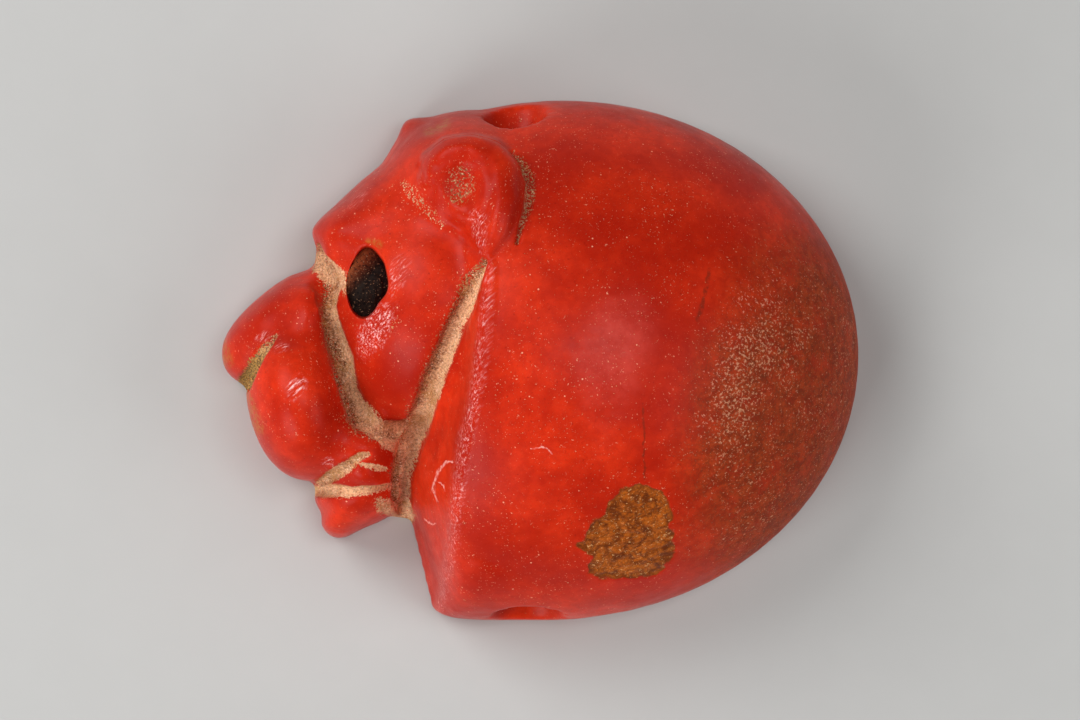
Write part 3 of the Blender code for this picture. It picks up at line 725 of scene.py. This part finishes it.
bright = scratch(tree, flat_place, hook, 0.075)
for line, width in ((inner_hook, 0.06), (hair, 0.045), (chip_line, 0.06)):
    bright = sums(tree, "MAXIMUM", bright, scratch(tree, flat_place, line, width))
broken = ramp(tree, noise(tree, place, 5.0, 3.0, 0.7), 0.38, 0.56, 0.10, 0.75)
bright = product(tree, bright, broken, upper_side)
stone_colour = blend(tree, bright, stone_colour, SCRATCH_PINK)
flaw = scratch(tree, flat_place, ((8.35, 4.45), (8.15, 3.30), (7.75, 1.90)), 0.16)
flaw = sums(tree, "MAXIMUM", flaw, scratch(tree, flat_place, ((5.08, -2.20), (5.16, -5.87)), 0.09))
flaw_gaps = ramp(tree, noise(tree, place, 3.0, 4.0, 0.7), 0.40, 0.58, 0.1, 0.6)
flaw = product(tree, flaw, flaw_gaps, upper_side)
stone_colour = blend(tree, flaw, stone_colour, FLAW_BROWN)
tree.links.new(stone_colour, shader.inputs["Base Color"])

dull = sums(tree, "MAXIMUM", crusted, product(tree, worn_share, 0.45))
dull = sums(tree, "MAXIMUM", dull, product(tree, patch_share, 0.25))
sheen_noise = ramp(tree, noise(tree, place, 1.2, 5.0, 0.7), 0.3, 0.7, 0.28, 0.40)
roughness = sums(tree, "ADD", sheen_noise, product(tree, dull, 0.45))
tree.links.new(roughness, shader.inputs["Roughness"])
shader.inputs["Specular IOR Level"].default_value = 0.09
shader.inputs["Subsurface Weight"].default_value = 0.15
shader.inputs["Subsurface Radius"].default_value = (1.0, 0.2, 0.1)
shader.inputs["Subsurface Scale"].default_value = 0.5 * MM

fine_relief = product(tree, noise(tree, place, 11.0, 3.0, 0.6), ramp(tree, dull, 0.0, 1.0, 0.12, 1.0))
fine_relief = sums(tree, "ADD", fine_relief, product(tree, scuffed_highlight, 0.35))
fine_relief = sums(tree, "SUBTRACT", fine_relief, product(tree, specks, 0.3))
stone_bump = {"Strength": 0.5, "Distance": 0.08 * MM, "Height": fine_relief}
bump = add_node(tree, "ShaderNodeBump", stone_bump)
tree.links.new(bump.outputs[0], shader.inputs["Normal"])

stone.data.materials.clear()
stone.data.materials.append(stone_finish)
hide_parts("seal_body")
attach(stone, "root")

# The fill in the eye
# A dry, grainy black rest of a paste that once held the eye's inlay. It clings to the socket and
# slopes up, turning brown, to the rim on the brow's side.
FILL_OVERLAP = 0.06
FILL_SHIFT = (0.12, -0.06)
FILL_THICKNESS = 0.42
FILL_SLOPE = 0.55
PASTE_BLACKS = ((0.004, 0.003, 0.003, 1), (0.022, 0.012, 0.008, 1))
PASTE_BROWN = (0.22, 0.045, 0.012, 1)
PASTE_FLECK = (0.42, 0.24, 0.13, 1)
bpy.ops.object.select_all(action="DESELECT")
bpy.ops.mesh.primitive_uv_sphere_add(segments=72, ring_count=48, radius=1.0)
fill = bpy.context.object
fill.name = fill.data.name = "grainy_fill"
points, normals, seen = read_mesh(fill)
ball = points * MM
turn = math.radians(EYE[2])
across = ball[:, 0] * (EYE[1][0] + FILL_OVERLAP)
along = ball[:, 1] * (EYE[1][1] + FILL_OVERLAP)
lump = np.empty_like(ball)
lump[:, 0] = EYE[0][0] + FILL_SHIFT[0] + across * math.cos(turn) - along * math.sin(turn)
lump[:, 1] = EYE[0][1] + FILL_SHIFT[1] + across * math.sin(turn) + along * math.cos(turn)
lump[:, 2] = SOCKET_FLOOR + 0.02 + FILL_THICKNESS * ball[:, 2]
brow_side = eased(ball[:, 1] - 0.9 * ball[:, 0], 0.1, 1.2)
lump[:, 2] += np.where(ball[:, 2] > 0, FILL_SLOPE * brow_side, 0.0)
lump += ball * (0.12 * grain(lump, 0.45, 91) + 0.06 * grain(lump, 0.16, 95, 2))[:, None]
write_mesh(fill, lump)
put_attribute(fill, "fill_brown", brow_side)
bpy.ops.object.shade_smooth()

fill_finish = bpy.data.materials.new("dark_fill")
fill_finish.use_nodes = True
tree = fill_finish.node_tree
shader = tree.nodes["Principled BSDF"]
place = millimetres(tree)
fill_grain = noise(tree, place, 7.0, 4.0, 0.7)
black = blend(tree, ramp(tree, fill_grain, 0.3, 0.7), *PASTE_BLACKS)
fill_brown_share = product(tree, attribute(tree, "fill_brown"), ramp(tree, fill_grain, 0.32, 0.52))
black = blend(tree, fill_brown_share, black, PASTE_BROWN)
fleck = ramp(tree, noise(tree, place, 11.0, 2.0, 0.5), 0.63, 0.70, 0.0, 0.6)
fill_colour = blend(tree, fleck, black, PASTE_FLECK)
tree.links.new(fill_colour, shader.inputs["Base Color"])
shader.inputs["Roughness"].default_value = 0.8
shader.inputs["Specular IOR Level"].default_value = 0.12
fill_bump = {"Strength": 0.8, "Distance": 0.08 * MM, "Height": fill_grain}
bump = add_node(tree, "ShaderNodeBump", fill_bump)
tree.links.new(bump.outputs[0], shader.inputs["Normal"])
fill.data.materials.append(fill_finish)
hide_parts("eye_fill")
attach(fill, "root")

# The floor, the light and the camera
# The seal lies on its flat face on a pale studio floor, and the camera looks straight down on it.
# Four softboxes and a dim world light it.
FLOOR_SIZE = 1.2
FLOOR_GREYS = ((0.46, 0.46, 0.45, 1), (0.48, 0.48, 0.47, 1))
LIGHT_AIM = Vector((0.0, 0.0, 0.005))
FRAME_WIDTH = 54.3 * MM
bpy.ops.object.select_all(action="DESELECT")
bpy.ops.mesh.primitive_plane_add(size=FLOOR_SIZE, location=(0.0, 0.0, 0.0))
floor = bpy.context.object
floor.name = "studio_floor"
floor_finish = bpy.data.materials.new("pale_floor")
floor_finish.use_nodes = True
tree = floor_finish.node_tree
shader = tree.nodes["Principled BSDF"]
floor_mottle = noise(tree, millimetres(tree), 0.4, 4.0, 0.6)
floor_colour = blend(tree, floor_mottle, *FLOOR_GREYS)
tree.links.new(floor_colour, shader.inputs["Base Color"])
shader.inputs["Roughness"].default_value = 0.75
floor.data.materials.append(floor_finish)


def soft_light(name, where, size, watts):
    lamp = bpy.data.lights.new(name, "AREA")
    lamp.shape = "RECTANGLE"
    lamp.size, lamp.size_y = size
    lamp.energy = watts
    holder = bpy.data.objects.new(name, lamp)
    holder.location = where
    holder.rotation_euler = (LIGHT_AIM - Vector(where)).to_track_quat("-Z", "Y").to_euler()
    bpy.context.scene.collection.objects.link(holder)


soft_light("key_softbox", (-0.20, 0.14, 0.22), (0.20, 0.20), 0.75)
soft_light("low_softbox", (-0.19, -0.20, 0.15), (0.20, 0.16), 0.67)
soft_light("side_softbox", (0.24, -0.06, 0.18), (0.20, 0.20), 0.30)
soft_light("top_softbox", (0.08, 0.04, 0.42), (0.10, 0.16), 0.44)

world = bpy.data.worlds.new("studio")
bpy.context.scene.world = world
world.use_nodes = True
backdrop = world.node_tree.nodes["Background"]
backdrop.inputs["Color"].default_value = (1.0, 0.97, 0.94, 1.0)
backdrop.inputs["Strength"].default_value = 0.07

camera = bpy.data.cameras.new("camera")
camera.sensor_width = 36
camera.lens = camera.sensor_width * VIEW_DISTANCE * MM / FRAME_WIDTH
camera.clip_end = 10
viewer = bpy.data.objects.new("camera", camera)
viewer.location = (0.0, 0.0, (CONTOUR_HEIGHT + VIEW_DISTANCE) * MM)
bpy.context.scene.collection.objects.link(viewer)
bpy.context.scene.camera = viewer
bpy.context.scene.view_settings.view_transform = "Standard"
